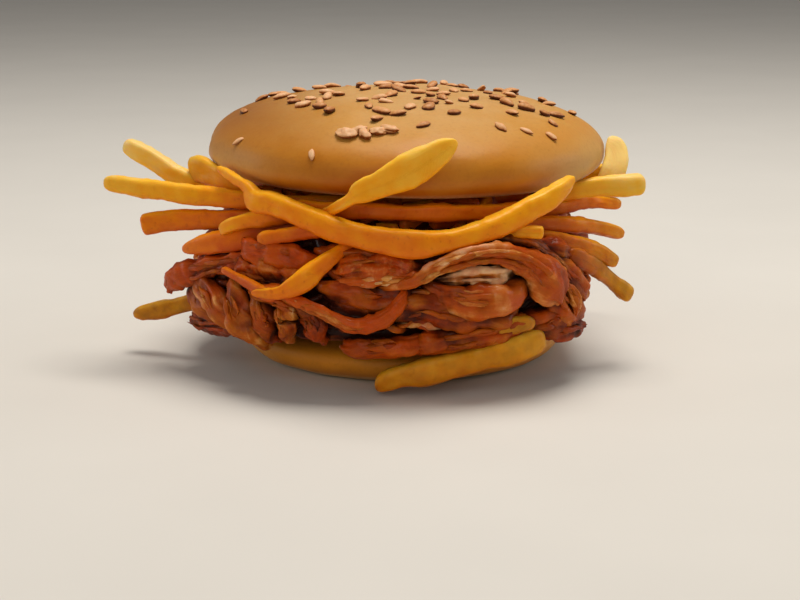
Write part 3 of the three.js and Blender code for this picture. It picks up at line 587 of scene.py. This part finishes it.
def cheese_material():
    """Cheddar: yellow at its loose ends, deeper orange where sauce has soaked it and as painted
    shade, paler on top as painted light, browned partly by meat juice and partly as painted shade.
    """
    s = Shader("cheddar")
    place = s.place()
    grain = s.attribute("grain", "Vector")
    cloud = s.noise(place, 4, 3)
    upward = s.upward()
    level = s.add(s.attribute("tint"), s.remap(cloud, 0.3, 0.7, -0.06, 0.06))
    # Painted light: faces turned up are paler, faces turned down deeper orange.
    level = s.add(level, s.remap(upward, -0.7, 0.9, 0.16, -0.12))
    # The darkest red stops give painted shade, in the hollow under the crown and on shreds in shade.
    colour = s.ramp(level, [
        (0.0, 246, 212, 128),
        (0.2, 248, 192, 58),
        (0.4, 244, 164, 12),
        (0.6, 232, 124, 0),
        (0.8, 202, 80, 0),
        (1.0, 124, 26, 0),
    ])
    specks = s.remap(s.noise(place, 1.5, 2), 0.6, 0.72, 0, 0.4)
    specks = s.times(specks, s.remap(level, 0.3, 0.6))
    colour = s.mix(specks, colour, srgb(190, 80, 2))
    # Browning: partly meat juice, partly painted shade on shreds that lie low or in shade.
    browning_and_shade = s.remap(s.noise(place, 3, 3), 0.3, 0.7, 0.7, 1.3)
    browning_and_shade = s.times(browning_and_shade, s.attribute("brown"))
    colour = s.mix(browning_and_shade, colour, srgb(128, 74, 8))
    marks = s.noise(s.stretch(grain, (0.12, 1.6, 1)), 1.0, 3, 0.5)
    bump = s.bump(marks, 0.14, 0.6)
    bump = s.bump(s.noise(place, 0.7, 2), 0.06, 0.5, bump)
    return s.finish(
        Base_Color=colour,
        Roughness=s.remap(cloud, 0.3, 0.7, 0.34, 0.5),
        Normal=bump,
        Specular_IOR_Level=0.16,
        Subsurface_Weight=0.3,
        Subsurface_Radius=(1.0, 0.45, 0.06),
        Subsurface_Scale=1.8 * MM,
        Coat_Weight=0.05,
        Coat_Roughness=0.2,
    )


def pork_material():
    """Sauced pork: fibres along each shred, pale flesh to dark bark, paler ridges and painted shade
    in its grooves and crevices, and a wet coat.
    """
    s = Shader("pulled_pork")
    place = s.place()
    grain = s.attribute("grain", "Vector")
    fibres = s.noise(s.stretch(grain, (0.09, 1.1, 1)), 1.0, 4, 0.62)
    blotches = s.noise(place, 4.2, 4, 0.6)
    level = s.add(s.attribute("tone"), s.remap(fibres, 0.3, 0.7, -0.07, 0.07))
    level = s.add(level, s.remap(blotches, 0.3, 0.7, -0.15, 0.15))
    # Painted light: raised parts of a shred's skin are lighter and its grooves darker, as painted highlight
    # and shade.
    level = s.add(level, s.remap(s.attribute("relief"), -0.6, 0.6, -0.3, 0.2))
    colour = s.ramp(level, [
        (0.0, 58, 14, 0),
        (0.25, 120, 40, 0),
        (0.5, 158, 70, 0),
        (0.72, 184, 96, 14),
        (0.88, 222, 152, 76),
        (1.0, 244, 200, 150),
    ])
    fat = s.remap(s.noise(place, 5, 3, 0.5), 0.46, 0.7)
    colour = s.mix(s.times(fat, 0.3), colour, srgb(138, 88, 12))
    sauce = s.remap(s.noise(s.stretch(place, (1, 1, 1.6)), 7, 3, 0.6), 0.4, 0.64)
    colour = s.mix(s.times(sauce, 0.55), colour, srgb(188, 66, 0))
    streaks = s.remap(fibres, 0.35, 0.65, 0.6, 1.2)
    colour = s.mix(s.times(streaks, s.attribute("sauced")), colour, srgb(204, 76, 0))
    # Pale specks: partly crumbs, partly painted glints of wet sauce.
    crumb = s.remap(s.noise(place, 1.3, 3, 0.6), 0.48, 0.7)
    colour = s.mix(s.times(crumb, s.attribute("crumbs")), colour, srgb(236, 158, 84))
    # Painted shade: the deeper under the heap's skin, the closer to a dark red-brown.
    colour = s.mix(s.times(s.attribute("hollow"), 0.94), colour, srgb(48, 9, 0))
    bump = s.bump(s.noise(place, 0.9, 4, 0.65), 0.24, 0.8)
    bump = s.bump(fibres, 0.24, 0.7, bump)
    return s.finish(
        Base_Color=colour,
        Roughness=s.remap(sauce, 0, 1, 0.56, 0.4),
        Normal=bump,
        Specular_IOR_Level=0.1,
        Subsurface_Weight=0.12,
        Subsurface_Radius=(1.0, 0.35, 0.06),
        Subsurface_Scale=1.6 * MM,
        Coat_Weight=0.16,
        Coat_Roughness=0.08,
    )


def seed_material():
    """Sesame: pale on top, dark along the sides and underneath, partly toasted and partly painted shade."""
    s = Shader("sesame")
    speckle = s.noise(s.place(), 0.8, 3)
    upward = s.upward()
    level = s.add(s.attribute("tone"), s.remap(speckle, 0.3, 0.7, -0.12, 0.12))
    # Painted shade: sides and undersides are darker, on top of the toasting.
    level = s.add(level, s.remap(upward, 0.5, -0.1, 0.0, 0.7))
    colour = s.ramp(level, [
        (0.0, 228, 180, 136),
        (0.4, 212, 152, 96),
        (0.75, 146, 78, 24),
        (1.0, 84, 36, 8),
    ])
    return s.finish(
        Base_Color=colour,
        Roughness=s.remap(speckle, 0.3, 0.7, 0.42, 0.58),
        Normal=s.bump(speckle, 0.06, 0.5),
        Specular_IOR_Level=0.3,
        Subsurface_Weight=0.08,
        Subsurface_Scale=0.8 * MM,
    )


# ---- the bun


def bun_outline(shape, lip_steps, dome_steps):
    """Radius and height from the middle of a bun half's flat face to the middle of its dome."""
    flat = [(shape["flat"] * k, 0.0) for k in np.linspace(0.06, 1, 12)]
    lip = []
    for k in range(1, lip_steps + 1):
        turn = k / lip_steps * math.pi / 2
        out = shape["flat"] + (shape["radius"] - shape["flat"]) * math.sin(turn)
        lip.append((out, shape["widest"] * (1 - math.cos(turn))))
    dome = []
    for k in range(1, dome_steps):
        dome.append(dome_place(shape, k / dome_steps * math.pi / 2))
    return np.array(flat + lip + dome)


def dome_place(shape, turn):
    """Radius and height on a bun half's dome: turn 0 is its widest circle, a quarter turn its top."""
    rise = shape["height"] - shape["widest"]
    out = shape["radius"] * math.cos(turn) ** (2 / shape["bulge"])
    return out, shape["widest"] + rise * math.sin(turn) ** (2 / shape["bulge"])


def bun_points(shape, radius, height, angle):
    """Points of a bun half, uneven as baked dough is, before it is set in place."""
    swell = 1 + shape["unevenness"] * waviness(angle, shape["seed"])
    lean = shape["skew"] * np.clip(height / shape["height"], 0, None)
    points = around((lean, 0), radius * swell, angle, height)
    outward = normalized((points - (0, 0, shape["widest"])) * (1, 1, 3))
    ripple = 0.42 * noise(points / 11, 3) + 0.12 * noise(points / 4, 4)
    ripple = ripple + 0.04 * noise(points / 1.3, 5)
    above_cut = smoothstep(0, 1.5, points[..., 2])
    return points + outward * (ripple * above_cut)[..., None]


def set_crown(points):
    """Turns and lifts points of the crown to where it sits."""
    c, s = math.cos(CROWN_LEAN), math.sin(CROWN_LEAN)
    x, y, z = points[..., 0], points[..., 1], points[..., 2]
    return np.stack([c * x + s * z, y, c * z - s * x + CROWN_SEAT], -1)


def bun_piece(name, shape, material, slot, node, setting=lambda points: points):
    outline = bun_outline(shape, 14, 46)
    sides = 220
    angle = np.arange(sides)[None, :] / sides * 2 * math.pi
    rings = bun_points(shape, outline[:, :1], outline[:, 1:], angle)
    ends = np.array([[0, 0, 0.0], [shape["skew"], 0, shape["height"]]])
    vertices = setting(np.vstack([rings.reshape(-1, 3), ends]))
    piece = Piece()
    piece.add(vertices, tube_faces(len(outline), sides))
    return piece.build(name, material, slot, [node])


# ---- sesame


def seed_shape(sides=10, rings=8):
    """One sesame seed of length 1, width 1 and thickness 1, pointed at one end."""
    along = np.linspace(0.04, 0.96, rings)
    fat = np.sqrt(along) * (1 - along) ** 0.55 * 1.62
    angle = np.arange(sides) / sides * 2 * math.pi
    ring = np.stack([
        (along[:, None] - 0.5) + 0 * angle,
        fat[:, None] * np.cos(angle) / 2,
        fat[:, None] * np.sin(angle) / 2,
    ], -1)
    tips = np.array([[-0.5, 0, 0], [0.5, 0, 0.0]])
    return np.vstack([ring.reshape(-1, 3), tips]), tube_faces(rings, sides)


def crown_spot(angle, turn):
    """A point on the crown and its outward normal."""
    def at(a, t):
        out, height = dome_place(CROWN, t)
        return set_crown(bun_points(CROWN, out, height, np.array(a)))
    here = at(angle, turn)
    along = at(angle + 0.01, turn) - here
    upward = at(angle, turn + 0.01) - here
    return here, normalized(np.cross(along, upward))


def lay_on_crown(piece, shape, angle, turn, heading, size, sunk, tone, tilt=0.0):
    """Lays a seed or flake of size (length, width, thickness) on the crown, sunk in by a share of
    its thickness."""
    points, faces = shape
    spot, normal = crown_spot(angle, turn)
    level = normalized(np.cross(normal, [0.3, 0.1, 1.0]))
    side = np.cross(normal, level)
    forward = math.cos(heading) * level + math.sin(heading) * side
    forward = normalized(forward + math.sin(tilt) * normal)
    across = normalized(np.cross(normal, forward))
    up = np.cross(forward, across)
    points = (points * size) @ np.stack([forward, across, up]) + spot
    piece.add(points + normal * size[2] * (0.5 - sunk), faces, tone=tone)


def add_seed(piece, angle, turn, heading, size, tilt, tone):
    points, faces = seed_shape()
    points = points * (1 + 0.22 * noise(points * 2.5 + 5.3 * angle, 10)[:, None])
    lay_on_crown(piece, (points, faces), angle, turn, heading, size, 0.3, tone, tilt)


def add_flake(piece, angle, turn, heading, length, rng):
    """A broken flake of grain, wider and rougher than a seed."""
    points, faces = seed_shape(18, 14)
    points = points * (1 + 0.35 * noise(points * 4 + rng.uniform(0, 50, 3), 9)[:, None])
    lay_on_crown(piece, (points, faces), angle, turn, heading, (length, 0.75 * length, 2.4), 0.25, 0.1)


def seeds():
    """Seeds scattered over the top of the crown, and those and the flakes that the photo shows."""
    rng = np.random.default_rng(21)
    piece = Piece()
    placed = []
    while len(placed) < SEEDS:
        angle = rng.uniform(0, 2 * math.pi)
        radius = SEEDED_RADIUS * math.sqrt(rng.uniform(0.002, 1))
        if rng.uniform() > 1 - smoothstep(30, SEEDED_RADIUS, radius):
            continue
        spot = np.array([radius * math.cos(angle), radius * math.sin(angle)])
        if any(np.hypot(*(spot - other)) < SEED_GAP for other in placed):
            continue
        placed.append(spot)
        turn = math.acos((radius / CROWN["radius"]) ** (CROWN["bulge"] / 2))
        length = rng.normal(4.3, 0.5)
        size = (length, length * rng.uniform(0.62, 0.88), length * rng.uniform(0.4, 0.54))
        heading = rng.uniform(0, 2 * math.pi)
        add_seed(piece, angle, turn, heading, size, rng.normal(0, 0.24), rng.uniform(0, 0.6))
    front = -math.pi / 2
    for across, turn, heading, tone in [
        (-0.98, 0.27, 1.3, 0.0), (-0.47, 0.24, 2.2, 0.0), (-0.13, 0.66, 0.4, 0.2),
        (0.72, 0.62, 2.6, 0.1), (0.86, 0.5, 2.3, 0.1),
    ]:
        add_seed(piece, front + across, turn, heading, (3.4, 2.1, 1.5), 0.1, tone)
    for across, turn, heading, length in [
        (-0.35, 0.57, 0.3, 5.6), (-0.3, 0.62, 1.1, 4.6), (-0.25, 0.58, 2.6, 4.4),
        (-0.19, 0.64, 0.6, 4.8), (-0.13, 0.68, 0.2, 4.4),
    ]:
        add_flake(piece, front + across, turn, heading, length, rng)
    piece.build("sesame_seeds", seed_material(), "crust")


# ---- cheddar


def boxiness(angle, power):
    """How far a rounded box's outline lies outside a circle, as a share of its radius."""
    return (np.abs(np.cos(angle)) ** power + np.abs(np.sin(angle)) ** power) ** (-1 / power) - 1


def cheese_skin(seed):
    """Grated cheddar: cut square, with uneven edges and fine scratches along it."""
    def skin(local, angle):
        square = boxiness(angle, 3.6)
        half = np.abs(local[..., 1]).max(axis=1, keepdims=True)
        slow = noise(local * (0.1, 0.1, 0.14) + seed * 3.1, 11)
        marks = noise(local * (1.1, 1.1, 0.12) + seed * 1.7, 12)
        bumps = noise(local * 0.7 + seed, 13)
        chips = -0.5 * smoothstep(0.35, 0.6, noise(local * 0.33 + seed * 2.3, 14)) * square / 0.2
        return half * (square + 0.2 * slow) + 0.12 * marks + 0.16 * bumps + 0.6 * chips
    return skin


def add_cheese(piece, number, rows, flat, caps, tint, brown, step, sides, wide=UPRIGHT, seed=0):
    skin = cheese_skin(seed + number)
    vertices, faces, values = sweep(number, rows, flat, caps, skin, wide, step, sides)
    piece.add(vertices, faces, tint=graded(tint, values["grain"]), brown=brown, **values)


def cheese(cheddar):
    """The shreds that stand out."""
    piece = Piece()
    for number, shred in enumerate([*CHEESE_SHREDS.values(), CAUGHT_END]):
        look = {**PLAIN_CHEESE, **shred}
        ends = zip((0, -1), look.pop("ends"))
        caps = [look["rows"][k][3] * (0.16 + 1.4 * (1 - end)) for k, end in ends]
        add_cheese(piece, number, caps=caps, step=0.9, sides=28, **look)
    piece.build("cheddar_shreds", cheddar, "cheddar", ["cheese_" + name for name in CHEESE_SHREDS])


def heap(outline, middle, lumps, sides, seed, **values):
    """A closed lumpy core from rows of radius and height."""
    fine, _ = smooth_line([(r, 0, z, 0) for r, z in outline])
    angle = np.arange(sides)[None, :] / sides * 2 * math.pi
    radius, height = fine[:, :1], fine[:, 2:3]
    points = around(middle, radius, angle, height)
    share = (radius / radius.max()) ** 2
    outward = normalized((points - middle) * (1, 1, 0))
    ripple = lumps * (0.7 * noise(points / 7, seed) + 0.3 * noise(points / 2.6, seed + 1)) * share
    points = points + outward * ripple[..., None]
    ends = [(*middle[:2], fine[0, 2]), (*middle[:2], fine[-1, 2])]
    vertices = np.vstack([points.reshape(-1, 3), ends])
    piece = Piece()
    piece.add(vertices, tube_faces(len(fine), sides), grain=vertices[:, [0, 2, 1]], **values)
    return piece


def bed_inset(sine):
    """How much less far out the bed reaches at an angle of this sine: only at the front, -1."""
    return BED_FRONT_INSET * max(0.0, -sine) ** 2


def bed_strip(rng):
    """Rows of one strip, lying roughly along the rim of the bed."""
    angle = rng.uniform(0, 2 * math.pi)
    distance = rng.uniform(BED_MIDDLES[0], BED_MIDDLES[1] - bed_inset(math.sin(angle)))
    height = rng.uniform(36.5, 46.5)
    length = rng.uniform(24, 48)
    turn = angle + math.pi / 2 + rng.normal(0, 0.35)
    middle = np.array([distance * math.cos(angle) - 1, distance * math.sin(angle) + 1.5])
    heading = np.array([math.cos(turn), math.sin(turn)])
    width = rng.uniform(3.2, 4.6)
    bow = rng.normal(0, 1.5)
    rows = []
    for share in (-0.5, -0.17, 0.17, 0.5):
        x, y = middle + heading * length * share
        reach = math.hypot(x, y)
        limit = BED_ENDS - bed_inset(y / max(reach, 1))
        if reach > limit:
            x, y = x * limit / reach, y * limit / reach
        z = height + bow * (0.25 - share * share) * 4 + rng.normal(0, 0.5)
        z = min(max(z, BED_BOTTOM), BED_TOP - width / 2)
        rows.append((x, y, z, width * rng.uniform(0.85, 1.1)))
    return rows


def cheese_bed(cheddar):
    """Loose strips packed over a core between the pork and the crown."""
    rng = np.random.default_rng(5)
    # The core's deep red tint is painted shade for the hollow under the crown.
    core = heap(CHEESE_CORE, CHEESE_MIDDLE, 2.0, 120, 31, tint=0.9, brown=0.1)
    core.build("cheddar_core", cheddar, "cheddar", ["cheese_heap"])
    piece = Piece()
    for number in range(BED_STRIPS):
        add_cheese(piece, number, bed_strip(rng), flat=rng.uniform(0.6, 0.85), caps=(1.2, 1.2),
                   tint=rng.uniform(0.5, 0.9), brown=0.12, step=1.6, sides=14, seed=100)
    piece.build("cheddar_bed", cheddar, "cheddar")


# ---- pork


def pork_skin(seed, rough=1.0):
    """Bundles of muscle with grooves between them, fibres, lumps and fine roughness."""
    def skin(local, angle):
        half = np.abs(local[..., 1]).max(axis=1, keepdims=True)
        shift = seed * 2.37
        across = local / np.maximum(half, 0.4)[..., None]
        lumps = noise(local * (0.3, 0.3, 0.22) + shift, 41)
        bundles = np.abs(noise(across * (1.3, 1.3, 0) + local * (0, 0, 0.05) + shift, 42))
        fibres = np.abs(noise(local * (1.5, 1.5, 0.1) + shift, 43))
        bumps = noise(local * 0.7 + shift, 44)
        stringy = 0.4 * min(rough, 1.5) * (bundles - 0.25)
        coarse = half * (0.34 * lumps + stringy + 0.4 * boxiness(angle, 2.5))
        return coarse + rough * (0.45 * (fibres - 0.25) + 0.2 * bumps) + 0.22 * bumps
    return skin


def pork_fray(seed, depth):
    """Torn ends: how much sooner each side of a shred ends."""
    def fray(angle, along):
        round_way = np.stack([np.cos(angle) * 2.4, np.sin(angle) * 2.4, 0.02 * along], -1)
        return depth * (0.5 + 0.8 * noise(round_way + seed * 1.9, 45))
    return fray


def tuck(rows, end):
    """Rows with one more at the given end, 0 or -1, where the shred dives into the heap."""
    rows = [list(row) for row in rows]
    last, before = np.array(rows[end]), np.array(rows[1 if end == 0 else -2])
    ahead = normalized(last[:3] - before[:3])
    inward = normalized((PORK_MIDDLE - last[:3]) * (1, 1, 0))
    spot = last[:3] + 3.0 * ahead + 5.0 * inward
    extra = [*spot, 0.8 * last[3]]
    return [extra] + rows if end == 0 else rows + [extra]


def add_pork(piece, number, rows, flat, tone, sides, wide=UPRIGHT, step=0.8, rough=1.0,
             torn=1.0, sauced=0.0, crumbs=0.0):
    caps = [torn * (1.2 + 0.5 * rows[k][3]) for k in (0, -1)]
    skin, fray = pork_skin(number, rough), pork_fray(number, 2.6 * torn)
    vertices, faces, values = sweep(number, rows, flat, caps, skin, wide, step, sides, fray)
    tone = graded(tone, values["grain"])
    piece.add(vertices, faces, tone=tone, sauced=sauced, crumbs=crumbs, **values)


def add_strand(piece, number, rows, tone):
    """One single muscle fibre."""
    add_pork(piece, number, rows, 0.8, tone, step=0.7, sides=10, rough=0.3)


def hero_pork(strands):
    """The pieces that stand out, with single fibres lying along them."""
    rng = np.random.default_rng(29)
    piece = Piece()
    for number, shred in enumerate([*PORK_SHREDS.values(), *MORE_PORK.values()]):
        look = {**PLAIN_PORK, **shred}
        add_strands_along(strands, rng, 600 + 10 * number, look["rows"], look["flat"], look["tone"])
        for end, loose in zip((0, -1), look.pop("loose")):
            if not loose:
                look["rows"] = tuck(look["rows"], end)
        add_pork(piece, number, sides=36, **look)
    return piece


def add_strands_along(piece, rng, first, rows, flat, tone):
    """Single muscle fibres on the outer face of a shred, some with an end that has come away."""
    line, distance = smooth_line(rows)
    for number in range(4):
        begin = rng.uniform(0, 0.45)
        places = np.linspace(begin, min(begin + rng.uniform(0.35, 0.7), 1), 6) * distance[-1]
        centre = along_line(line, distance, places)
        spots, widths = centre[:, :3], centre[:, 3:]
        outward = normalized((spots - PORK_MIDDLE) * (1, 1, 0.15))
        across = np.cross(outward, normalized(np.gradient(spots, axis=0)))
        side = rng.uniform(-0.4, 0.4)
        across = across * (side + rng.normal(0, 0.03, 6))[:, None]
        lift = 0.5 * flat * math.sqrt(1 - 4 * side * side) * widths
        lift[[0, -1], 0] += rng.choice([-0.9, 0.5], 2)
        width = rng.uniform(0.7, 1.5) * np.array([0.7, 1, 1.1, 1.1, 1, 0.7])
        strand = np.column_stack([spots + outward * lift + across * widths, width])
        add_strand(piece, first + number, strand, np.mean(tone) + rng.uniform(-0.1, 0.25))


class HeapSide:
    """The side of the pork core unrolled flat, and how far out the shreds laid on it stand. A path
    on it is rows of the distance round the core and the distance up its side."""

    columns, levels = 300, 50
    girth = 2 * math.pi * max(radius for radius, height in PORK_CORE)

    def __init__(self):
        side, _ = smooth_line([(r, 0, z, 0) for r, z in PORK_CORE[3:10]])
        self.profile = side[:, [0, 2]]
        steps = np.linalg.norm(np.diff(self.profile, axis=0), axis=1)
        self.travel = np.concatenate([[0], np.cumsum(steps)])
        tangents = np.gradient(self.profile, self.travel, axis=0)
        self.normals = normalized(np.stack([tangents[:, 1], -tangents[:, 0]], -1))
        self.height = self.travel[-1]
        self.cell = (self.girth / self.columns, self.height / self.levels)
        self.layer = np.zeros((self.columns, self.levels))

    def angle(self, path):
        return path[:, 0] / self.girth * 2 * math.pi

    def cells(self, path):
        column = (path[:, 0] / self.cell[0]).astype(int) % self.columns
        level = (path[:, 1] / self.cell[1]).astype(int)
        return column, np.clip(level, 0, self.levels - 1)

    def random_path(self, rng):
        """The path and the width of a gently bent shred."""
        start = np.array([rng.uniform(0, self.girth), rng.uniform(LOOSE_BOTTOM, self.height - 1)])
        slope = rng.normal(0, 0.55)
        length = rng.uniform(14, 34)
        bend = rng.normal(0, 0.02)
        width = rng.uniform(3.4, 7.5)
        share = np.arange(0, length, LOOSE_STEP)
        heading = slope + bend * (share - length / 2)
        strides = np.stack([np.cos(heading), np.sin(heading)], -1) * LOOSE_STEP
        path = start + np.cumsum(strides, axis=0)
        bottom = LOOSE_BOTTOM + 4.6 * smoothstep(0.55, 0.85, -np.sin(self.angle(path)))
        path[:, 1] = np.clip(path[:, 1], bottom, self.height - 0.5)
        return path, width

    def emptiest_path(self, rng):
        """The one of eight random paths with the least lying under it."""
        tries = [self.random_path(rng) for _ in range(8)]
        return min(tries, key=lambda each: self.layer[self.cells(each[0])].mean())

    def lift(self, path, thick):
        """How far out a shred's centreline lies, resting on what is under it, its ends sunk in."""
        kernel = np.exp(-0.5 * (np.arange(-4, 5) / 2.0) ** 2)
        under = np.pad(self.layer[self.cells(path)], 4, mode="edge")
        rest = np.convolve(under, kernel / kernel.sum(), mode="valid")
        front = smoothstep(0.4, 0.8, -np.sin(self.angle(path)))
        lift = np.minimum(rest + 0.32 * thick, 5.2 - 3.2 * front)
        count = np.arange(len(path))
        from_end = np.minimum(count, count[::-1]) * LOOSE_STEP
        return lift - 3.0 * (1 - smoothstep(0, 5.5, from_end))

    def pile(self, path, lift, width, thick):
        """Raises the layer to the outer face of a shred."""
        reach = [int(width / 2 / size) + 1 for size in self.cell]
        for column, level, middle in zip(*self.cells(path), lift):
            for right in range(-reach[0], reach[0] + 1):
                for up in range(-reach[1], reach[1] + 1):
                    away = math.hypot(right * self.cell[0], up * self.cell[1]) / (width / 2)
                    if away < 1 and 0 <= level + up < self.levels:
                        spot = (column + right) % self.columns, level + up
                        top = middle + 0.5 * thick * math.sqrt(1 - away * away)
                        self.layer[spot] = max(self.layer[spot], top)

    def rows(self, path, lift, width):
        """Rows of a shred's centreline in space, drawn in low on the right."""
        angle = self.angle(path)
        r, z = along_line(self.profile, self.travel, path[:, 1]).T
        out_r, out_z = along_line(self.normals, self.travel, path[:, 1]).T
        drawn_in = 6.5 * smoothstep(27, 16, z) * smoothstep(0.3, 0.8, np.cos(angle))
        spots = around(PORK_MIDDLE, r + out_r * lift - drawn_in, angle, z + out_z * lift)
        fade = 0.8 + 0.2 * np.sin(np.linspace(0, math.pi, len(path)))
        return np.column_stack([spots, width * fade])[::3]


def loose_pork():
    """Shreds laid one after another over the core, each resting on those under it."""
    rng = np.random.default_rng(11)
    side = HeapSide()
    pieces = [Piece(), Piece()]
    for number in range(LOOSE_SHREDS):
        path, width = side.emptiest_path(rng)
        flat = rng.uniform(0.5, 0.85)
        lift = side.lift(path, width * flat)
        side.pile(path, lift, width, width * flat)
        rows = side.rows(path, lift, width)
        if len(rows) < 3:
            continue
        middle = side.angle(path)[len(path) // 2]
        outward = np.array([math.cos(middle), math.sin(middle), 0])
        wide = np.cross(outward, normalized(rows[-1, :3] - rows[0, :3]))
        add_pork(pieces[number % 2], 50 + number, rows, flat, rng.uniform(0.1, 0.8),
                 wide=wide, step=1.0, sides=24, rough=1.6, torn=1.8)
    return pieces


def thin_strands():
    """Single muscle fibres that lie loose over the heap."""
    rng = np.random.default_rng(17)
    piece = Piece()
    for number in range(THIN_STRANDS):
        angle = rng.uniform(0, 2 * math.pi)
        height = rng.uniform(18, 31)
        length = rng.uniform(9, 24)
        slope = rng.normal(0, 0.5)
        share = np.linspace(-0.5, 0.5, 7)
        z = np.maximum(height + length * share * math.sin(slope) + rng.normal(0, 0.35, 7), 15.5)
        turn = angle + length * share * math.cos(slope) / 52
        out = 51.2 - 3.2 * smoothstep(24, 36, z) ** 2 + rng.normal(0, 0.4)
        out = out + 1.0 * np.sin(share * 9 + rng.uniform(0, 6)) - 3.5 * (np.abs(share) * 2) ** 4
        width = rng.uniform(0.7, 1.7) * (1 - 0.5 * np.abs(share))
        rows = np.column_stack([around(PORK_MIDDLE, out, turn, z), width])
        add_strand(piece, 400 + number, rows, rng.uniform(0.3, 0.8))
    return piece


def hollows(pieces):
    """Gives every vertex its depth under the heap's outer skin, for the painted shade that darkens
    crevices.
    """
    columns, levels, cell = 180, 34, 1.2
    reach = np.zeros((columns, levels))

    def cells(piece):
        points = np.vstack(piece.vertices) - PORK_MIDDLE
        angle = np.arctan2(points[:, 1], points[:, 0])
        column = ((angle / (2 * math.pi) + 0.5) * columns).astype(int) % columns
        level = np.clip((points[:, 2] / cell).astype(int), 0, levels - 1)
        return column, level, np.hypot(points[:, 0], points[:, 1])

    for piece in pieces:
        column, level, out = cells(piece)
        np.maximum.at(reach, (column, level), out)
    soft = reach
    for _ in range(2):
        soft = (soft + np.roll(soft, 1, 0) + np.roll(soft, -1, 0)) / 3
        inner = np.pad(soft, ((0, 0), (1, 1)), mode="edge")
        soft = (inner[:, :-2] + inner[:, 1:-1] + inner[:, 2:]) / 3
    for piece in pieces:
        column, level, out = cells(piece)
        piece.values["hollow"] = [smoothstep(0.1, 2.7, soft[column, level] - out)]


def pork():
    core = heap(PORK_CORE, PORK_MIDDLE, 2.4, 200, 51, tone=0.05, relief=0.0)
    strands = thin_strands()
    front = hero_pork(strands)
    loose = loose_pork()
    hollows([core, front, strands, *loose])
    meat = pork_material()
    core.build("pork_core", meat, "pulled_pork", ["pork_heap"])
    front.build("pork_front", meat, "pulled_pork", ["pork_" + name for name in PORK_SHREDS])
    loose[0].build("pork_loose_a", meat, "pulled_pork")
    loose[1].build("pork_loose_b", meat, "pulled_pork")
    strands.build("pork_strands", meat, "pulled_pork")


# ---- stage


def area_light(name, place, aim, size, watts, colour=(1, 1, 1)):
    data = bpy.data.lights.new(name, "AREA")
    data.shape = "DISK"
    data.size = size
    data.energy = watts
    data.color = colour
    light = add_object(name, data)
    light.location = place
    direction = Vector(aim) - Vector(place)
    light.rotation_euler = direction.to_track_quat("-Z", "Y").to_euler()


def stage():
    s = Shader("pale_floor")
    mottling = s.noise(s.place(), 60, 3)
    floor_material = s.finish(
        Base_Color=s.mix(mottling, srgb(210, 208, 205), srgb(217, 215, 212)),
        Roughness=0.75,
    )
    mesh = bpy.data.meshes.new("floor")
    reach = 6.0
    corners = [(-reach, -reach, 0), (reach, -reach, 0), (reach, reach, 0), (-reach, reach, 0)]
    mesh.from_pydata(corners, [], [(0, 1, 2, 3)])
    mesh.materials.append(floor_material)
    add_object("floor", mesh)

    world = bpy.data.worlds.new("studio")
    world.use_nodes = True
    background = world.node_tree.nodes["Background"]
    background.inputs["Color"].default_value = (1, 0.95, 0.88, 1)
    background.inputs["Strength"].default_value = 0.2
    bpy.context.scene.world = world
    aim = (0, 0, 0.04)
    area_light("key", (0.1, 0.1, 0.85), aim, 0.5, 7.0, (1, 0.93, 0.82))
    area_light("fill", (-0.2, -0.9, 0.45), aim, 0.7, 1.7, (1, 0.92, 0.8))
    area_light("rim_left", (-0.8, 0.1, 0.25), aim, 0.4, 1.0)
    area_light("rim_right", (0.8, 0.1, 0.25), aim, 0.4, 1.0)


def camera():
    elevation = math.radians(13)
    distance = 0.51
    aim = Vector((-0.0008, 0, 0.013))
    away = Vector((0, -math.cos(elevation), math.sin(elevation)))
    data = bpy.data.cameras.new("camera")
    data.lens = 85
    data.sensor_width = 36
    data.clip_start = 0.01
    view = add_object("camera", data)
    view.location = aim + away * distance
    view.rotation_euler = (-away).to_track_quat("-Z", "Y").to_euler()
    bpy.context.scene.camera = view


# ---- the whole

bpy.context.scene.view_settings.view_transform = "Standard"
camera()
stage()

cheddar = cheese_material()
# The crown's colours run from dark red-brown at the lip, painted shade under its edge, to pale tan at the
# top.
crust = crust_material("crust", CROWN_SEAT, CROWN_SEAT + CROWN["height"], [
    (0.0, 140, 56, 2),
    (0.18, 170, 88, 4),
    (0.45, 192, 122, 28),
    (0.75, 196, 140, 62),
    (1.0, 200, 156, 98),
], (150, 60, 8))
# The heel's colours run darker at the bottom, painted shade on the underside.
heel_crust = crust_material("heel_crust", 0, HEEL["height"], [
    (0.0, 170, 100, 16),
    (0.4, 222, 142, 36),
    (1.0, 206, 132, 34),
], (214, 170, 104))

bun_piece("crown", CROWN, crust, "crust", "bun_crown", set_crown)
bun_piece("heel", HEEL, heel_crust, "heel_crumb", "bun_heel")
seeds()
cheese(cheddar)
cheese_bed(cheddar)
pork()

bpy.context.view_layer.update()
